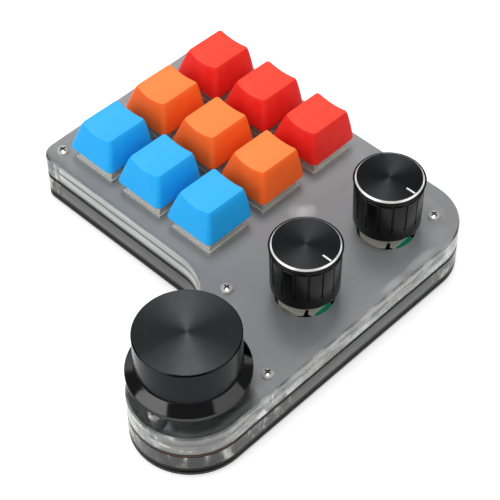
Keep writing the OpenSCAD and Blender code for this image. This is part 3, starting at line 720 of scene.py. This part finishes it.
def paintedWallLight(finish, spot, low, high, plan):
    # painted light and shade of a polished wall, and its share: level bands, or painted reflections in
    # streaks and in patches with upright edges
    x, y, z = spot.axes()
    level = z.between(low, high)
    calm = x.within(*plan["calmX"]) * y.within(*plan["calmY"])
    lively = (1 - calm) * y.under(plan["livelyBack"]) * x.over(plan["livelyLeft"])
    streak = finish.stretchedNoise(spot, *plan["streak"], 3.0)
    patch = finish.stretchedNoise(spot, *plan["patch"], 4.0)
    axisX, axisY = middle("shaft_large")
    nose = (x - y).between(*(axisX - axisY + edge for edge in plan["nose"]))
    # painted light and shade: bands by height, dark streaks, dark and light patches, and the plainer round
    # end
    bands = finish.bands(level + streak * 0.1 - 0.05, plan["paintedWallBands"])
    streaks = streak.between(*plan["streakEdges"]) * plan["streakShare"]
    streaked = finish.mix(streaks, bands, plan["streakTone"])
    dark = patch.between(*plan["darkEdges"]) * lively * plan["darkShare"]
    shaded = finish.mix(dark, streaked, plan["darkTone"])
    light = patch.between(*plan["lightEdges"]) * lively * plan["lightShare"]
    lit = finish.mix(light, shaded, plan["lightTone"])
    plain = nose * (1 - patch.between(*plan["noseEdges"])) * plan["noseShare"]
    milkAndPaintedLight = finish.mix(plain, lit, plan["noseTone"])
    footing = level.under(plan["footing"])
    share = lively * (1 - nose) * (plan["livelyShare"] - plan["wallShare"]) + plan["wallShare"]
    return finish.mix(footing, milkAndPaintedLight, plan["footTone"]), footing * (1 - share) + share


def clearWall(name, plan):
    # clear acrylic whose upright walls carry painted bands of light and shade
    finish = Finish(name)
    low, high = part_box("base_plate")[1].z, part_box("pcb")[0].z
    milkAndPaintedLight, milkAndPaintedShare = paintedWallLight(finish, finish.spot(), low, high, plan)
    hazeAndPaintedLight = finish.shader({
        "Base Color": milkAndPaintedLight, "Roughness": plan["hazeAndPaintedRoughness"], "Specular IOR Level": plan["paintedWallLevel"]})
    upright = abs(finish.facing()).under(plan["upright"])
    share = upright * (milkAndPaintedShare - plan["leastPaintedShare"]) + plan["leastPaintedShare"]
    return finish.close(finish.blend(share, finish.clear(plan["tint"], plan["polish"]), hazeAndPaintedLight))


def frostedShell(name, plan):
    # clear acrylic: its upper face is frosted, its walls are polished and carry painted bands of light and
    # shade
    finish = Finish(name)
    spot = finish.spot()
    x, y, z = spot.axes()
    flat = abs(finish.facing())
    onTop = flat.over(plan["level"]) * z.over(deckZ - plan["deckEdge"])
    onWall = flat.under(plan["level"])
    clear = finish.clear(plan["tint"], onTop * plan["frost"] + plan["polish"])
    cloud = finish.noise(spot, plan["sheenCloud"])
    grain = finish.noise(spot, plan["sheenGrain"], 4.0)
    sheen = finish.shader({
        "Base Color": finish.mix(cloud, plan["sheen"], plan["sheenDark"]),
        "Roughness": plan["sheenRoughness"],
        "Metallic": 1.0,
        "Normal": finish.bump(grain, 0.01 * mm, 0.5),
    })
    # the walls' painted light and shade
    milkAndPaintedLight, milkAndPaintedShare = paintedWallLight(finish, spot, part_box("pcb")[1].z, deckZ, plan)
    hazeAndPaintedLight = finish.shader({
        "Base Color": finish.mix(onTop, milkAndPaintedLight, plan["milkAndPaintedLight"]), "Roughness": plan["hazeAndPaintedRoughness"]})
    # painted shade below the large knob and toward the front: less sheen and less milk there
    axisX, axisY = middle("shaft_large")
    fromX, fromY = x - axisX - plan["knobShift"], y - axisY + plan["knobShift"]
    away = (fromX * fromX + fromY * fromY).root()
    offKnob = away.between(*plan["knobShade"]) * (1 - plan["knobLeast"]) + plan["knobLeast"]
    backward = y.between(*plan["backEdges"]) * (1 - plan["frontLeast"]) + plan["frontLeast"]
    lit = offKnob * backward
    frosted = finish.blend(onTop * plan["sheenShare"] * lit, clear, sheen)
    # painted light round the keys
    nearKeys = x.between(*plan["keyEdgesX"]) * y.between(*plan["keyEdgesY"])
    # painted reflections: soft patches where the frosted face takes more milk
    glow = 0.0
    for centreX, centreY, reachX, reachY, strength in plan["paintedReflections"]:
        acrossX, acrossY = (x - centreX) / reachX, (y - centreY) / reachY
        glow = (acrossX * acrossX + acrossY * acrossY).between(1.0, 0.1) * strength + glow
    share = onTop * ((nearKeys * plan["keyPaintedLight"] + plan["milkAndPaintedShare"]) * lit + glow) + onWall * milkAndPaintedShare
    return finish.close(finish.blend(share, frosted, hazeAndPaintedLight))


reshaped("case_top", "upper_shell", frostedShell("frostedShell", shellPlan),
         shorten("case_top", False))
reshaped("case_bottom", "lower_frame", clearWall("clearFrame", framePlan),
         shorten("case_bottom", True))
print("the case's clear layers are made")


boardPlan = {
    "mask": (12, 12, 14), "laminate": (92, 66, 54), "roughness": 0.45, "level": 0.05,
    "core": 0.25,  # half the share of the board's thickness that is laminate
    "bareStart": 0.25, "bareFront": 9.0, "bareEdges": (0.42, 0.62),  # it shows more toward the front
}
basePlan = {
    "roughness": 0.4, "level": 0.1, "waver": 0.06,
    # painted light and shade on the plate's upright edge: a lighter line, a painted highlight, between two
    # dark ones, the upper one a painted shadow below the frame
    "tones": [(0.0, 30), (0.3, 36), (0.42, 58), (0.56, 60), (0.64, 10), (1.0, 6)],
}


def boardFinish(name, plan):
    # black solder mask over brown laminate that shows at the board's edge
    finish = Finish(name)
    spot = finish.spot()
    y, z = spot.axes("YZ")
    upright = abs(finish.facing()).under(0.5)
    low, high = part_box("pcb")
    core = abs(z.between(low.z, high.z) - 0.5).under(plan["core"])
    bareness = finish.noise(spot, 60.0) - y * plan["bareFront"] - plan["bareStart"]
    bare = bareness.between(*plan["bareEdges"]) * core
    cloud = finish.noise(spot, 700.0)
    return finish.close(finish.shader({
        "Base Color": finish.mix(upright * bare * (cloud * 0.5 + 0.5), plan["mask"], plan["laminate"]),
        "Roughness": cloud * 0.1 + plan["roughness"],
        "Specular IOR Level": plan["level"],
    }))


def baseFinish(name, plan):
    # black acrylic; its upright edge carries painted bands of highlight and shadow
    finish = Finish(name)
    spot = finish.spot()
    low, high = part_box("base_plate")
    cloud = finish.noise(spot, 500.0)
    rise = spot.axes("Z")[0].between(low.z, high.z)
    level = rise + cloud * plan["waver"] - plan["waver"] / 2
    return finish.close(finish.shader({
        # painted highlight and shadow bands by height
        "Base Color": finish.bands(level, plan["tones"]),
        "Roughness": cloud * 0.1 + plan["roughness"],
        "Specular IOR Level": plan["level"],
    }))


dress("pcb", boardFinish("boardBlack", boardPlan))
dress("base_plate", baseFinish("baseBlack", basePlan))


screwPlan = {
    "light": (240, 238, 232), "dark": (190, 186, 176), "recess": (24, 22, 20),
    "roughness": 0.2, "metallic": 0.6,
    "recessFloor": (0.0004, 0.0006), "recessSides": 0.00078,  # metres above the deck
    "headShare": 0.97,  # the heads are a little narrower than the solids'
    "apart": 0.006,  # points closer than this belong to one screw
}


def screwSteel(name, plan):
    # polished steel; the cross recess is painted dark inside, as painted shade
    finish = Finish(name)
    spot = finish.spot()
    z = spot.axes("Z")[0]
    facing = finish.facing()
    # painted shade: the floor and upright sides of the cross recess
    floor = facing.over(0.5) * z.within(*(deckZ + height for height in plan["recessFloor"]))
    sides = abs(facing).under(0.3) * z.over(deckZ + plan["recessSides"])
    cloud = finish.noise(spot, 900.0)
    steel = finish.mix(cloud * 0.3, plan["light"], plan["dark"])
    return finish.close(finish.shader({
        "Base Color": finish.mix(floor + sides, steel, plan["recess"]),
        "Roughness": cloud * 0.1 + plan["roughness"],
        "Metallic": plan["metallic"],
    }))


def screwMiddles(apart):
    # x and y of each screw's axis
    groups = []
    for vertex in frame["nodes"]["case_screws"].data.vertices:
        point = tuple(vertex.co[:2])
        for group in groups:
            if math.dist(point, group[0]) < apart:
                group.append(point)
                break
        else:
            groups.append([point])
    return [tuple((min(values) + max(values)) / 2 for values in zip(*group)) for group in groups]


def nearest(point, centres):
    return min(centres, key=lambda centre: math.dist(point[:2], centre))


def smallHead(plan):
    centres = screwMiddles(plan["apart"])

    def move(point):
        if point.z > deckZ - 0.1 * mm:
            centre = nearest(point, centres)
            for side in (0, 1):
                point[side] = centre[side] + (point[side] - centre[side]) * plan["headShare"]
    return move


reshaped("case_screws", "screws", screwSteel("screwSteel", screwPlan), smallHead(screwPlan))


switchPlan = {
    # the flange in metres: its reach and height, and the height and top of the solid's
    "reach": 0.00715, "height": 0.0006, "cadHeight": 0.001, "cadTop": 0.00105,
    "tint": (246, 246, 240), "roughness": 0.06, "light": (252, 248, 238), "dark": (232, 226, 212),
    "paintedTopLightShare": 0.55, "milkAndPaintedShare": 0.35, "hazeAndPaintedRoughness": 0.3,
}
switchBodyPlan = {
    "tint": (232, 232, 226), "roughness": 0.2, "light": (225, 223, 214), "dark": (190, 192, 192),
    "haze": 0.7, "hazeAndPaintedRoughness": 0.3,
}


def thinFlange(plan):
    # the flange lies lower and ends closer to the switch
    centres = [middle("stem_" + place) for place in keyPlaces]

    def move(point):
        if point.z < deckZ + plan["cadTop"]:
            centre = nearest(point, centres)
            for side in (0, 1):
                offset = point[side] - centre[side]
                point[side] = centre[side] + max(-plan["reach"], min(plan["reach"], offset))
            point.z = deckZ + (point.z - deckZ) * plan["height"] / plan["cadHeight"]
    return move


def switchClear(name, plan):
    # clear housing: painted light makes it bright where it faces up, glassy at its sides
    finish = Finish(name)
    cloud = finish.noise(finish.spot(), 900.0)
    tone = finish.mix(cloud * 0.3, plan["light"], plan["dark"])
    hazeAndPaintedLight = finish.shader({"Base Color": tone, "Roughness": plan["hazeAndPaintedRoughness"]})
    # painted light: faces that look up take more of the bright milky tone
    share = finish.facing().over(0.5) * plan["paintedTopLightShare"] + plan["milkAndPaintedShare"]
    return finish.close(finish.blend(share, finish.clear(plan["tint"], plan["roughness"]), hazeAndPaintedLight))


def switchBody(name, plan):
    # clear plastic with a milky haze in it
    finish = Finish(name)
    cloud = finish.noise(finish.spot(), 300.0)
    tone = finish.mix(cloud, plan["light"], plan["dark"])
    hazeAndPaintedLight = finish.shader({"Base Color": tone, "Roughness": plan["hazeAndPaintedRoughness"]})
    share = cloud * plan["haze"] + plan["haze"] * 0.5
    return finish.close(finish.blend(share, finish.clear(plan["tint"], plan["roughness"]), hazeAndPaintedLight))


reshaped("switch_tops", "switch_heads", switchClear("switchClear", switchPlan),
         thinFlange(switchPlan))
dress("switch_bottoms", switchBody("switchBody", switchBodyPlan))


encoderPlan = {
    "blocks": 0.0049, "sheet": 0.007,  # metres from the axis: the terminal blocks, and metal beside them
    "green": (34, 178, 140), "deepGreen": (20, 120, 98), "metal": (196, 192, 180), "middle": (10, 34, 30),
    "roughness": 0.35,
}


def encoderGreen(name, plan):
    # the terminal blocks at the sides are green; the middle of the moulding is painted dark, as painted
    # shade
    finish = Finish(name)
    spot = finish.spot()
    away = abs(spot.axes("X")[0] - middle("shaft_large")[0])
    cloud = finish.noise(spot, 500.0)
    green = finish.mix(cloud * 0.3, plan["green"], plan["deepGreen"])
    side = finish.mix(away.over(plan["sheet"]), green, plan["metal"])
    return finish.close(finish.shader({
        # painted shade in the middle of the moulding
        "Base Color": finish.mix(away.over(plan["blocks"]), plan["middle"], side),
        "Roughness": cloud * 0.1 + plan["roughness"],
    }))


dress("encoder_bases", encoderGreen("encoderGreen", encoderPlan))
print("board, base, screws, switches and encoders have their finishes")


plainPieces = {  # each finish's tone, roughness and metal share, and the nodes that carry it
    "blackPlastic": ((22, 22, 24), 0.4, 0.0, ["usb_tongue", "controller_chip", "key_diodes"]),
    "brightSteel": ((232, 229, 222), 0.24, 0.75, ["encoder_pins", "usb_shell", "crystal"]),
    "footRubber": ((30, 30, 30), 0.8, 0.0, ["feet"]),
    "contactMetal": ((214, 180, 110), 0.3, 1.0, ["switch_contacts"]),
    "bracketTin": ((226, 222, 208), 0.3, 0.35, ["encoder_brackets"]),
    "bushingMetal": ((150, 150, 148), 0.35, 1.0, ["encoder_bushings"]),
    "stemBrown": ((140, 70, 40), 0.4, 0.0, ["stem_" + place for place in keyPlaces]),
    "shaftMetal": ((190, 190, 188), 0.3, 1.0, ["shaft_" + knob for knob in knobNames]),
    **{"plungerWhite_" + knob: ((225, 225, 220), 0.5, 0.0, ["plunger_" + knob]) for knob in knobNames},
    **{"setScrewBlack_" + knob: ((60, 60, 62), 0.3, 1.0, ["set_screw_" + knob]) for knob in knobNames},
}
springFinish = {"tone": (190, 190, 188), "roughness": 0.25, "metallic": 1.0}


def returnSprings(joint, material):
    # the key's spring stands on the case, as a copy with a mesh of its own
    for deforming in joint.get("deforming_nodes", []):
        node, foot = deforming["node"], deforming["fixed_end_z_m"]
        coil = reshaped(node, "coil_" + node, material)
        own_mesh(coil)


for name, (tone, roughness, metallic, nodes) in plainPieces.items():
    material = plainFinish(name, tone, roughness, metallic)
    for node in nodes:
        dress(node, material)
springWire = plainFinish("springWire", **springFinish)
for joint in frame["joints"]:
    returnSprings(joint, springWire)
print("springs and small pieces have their finishes")
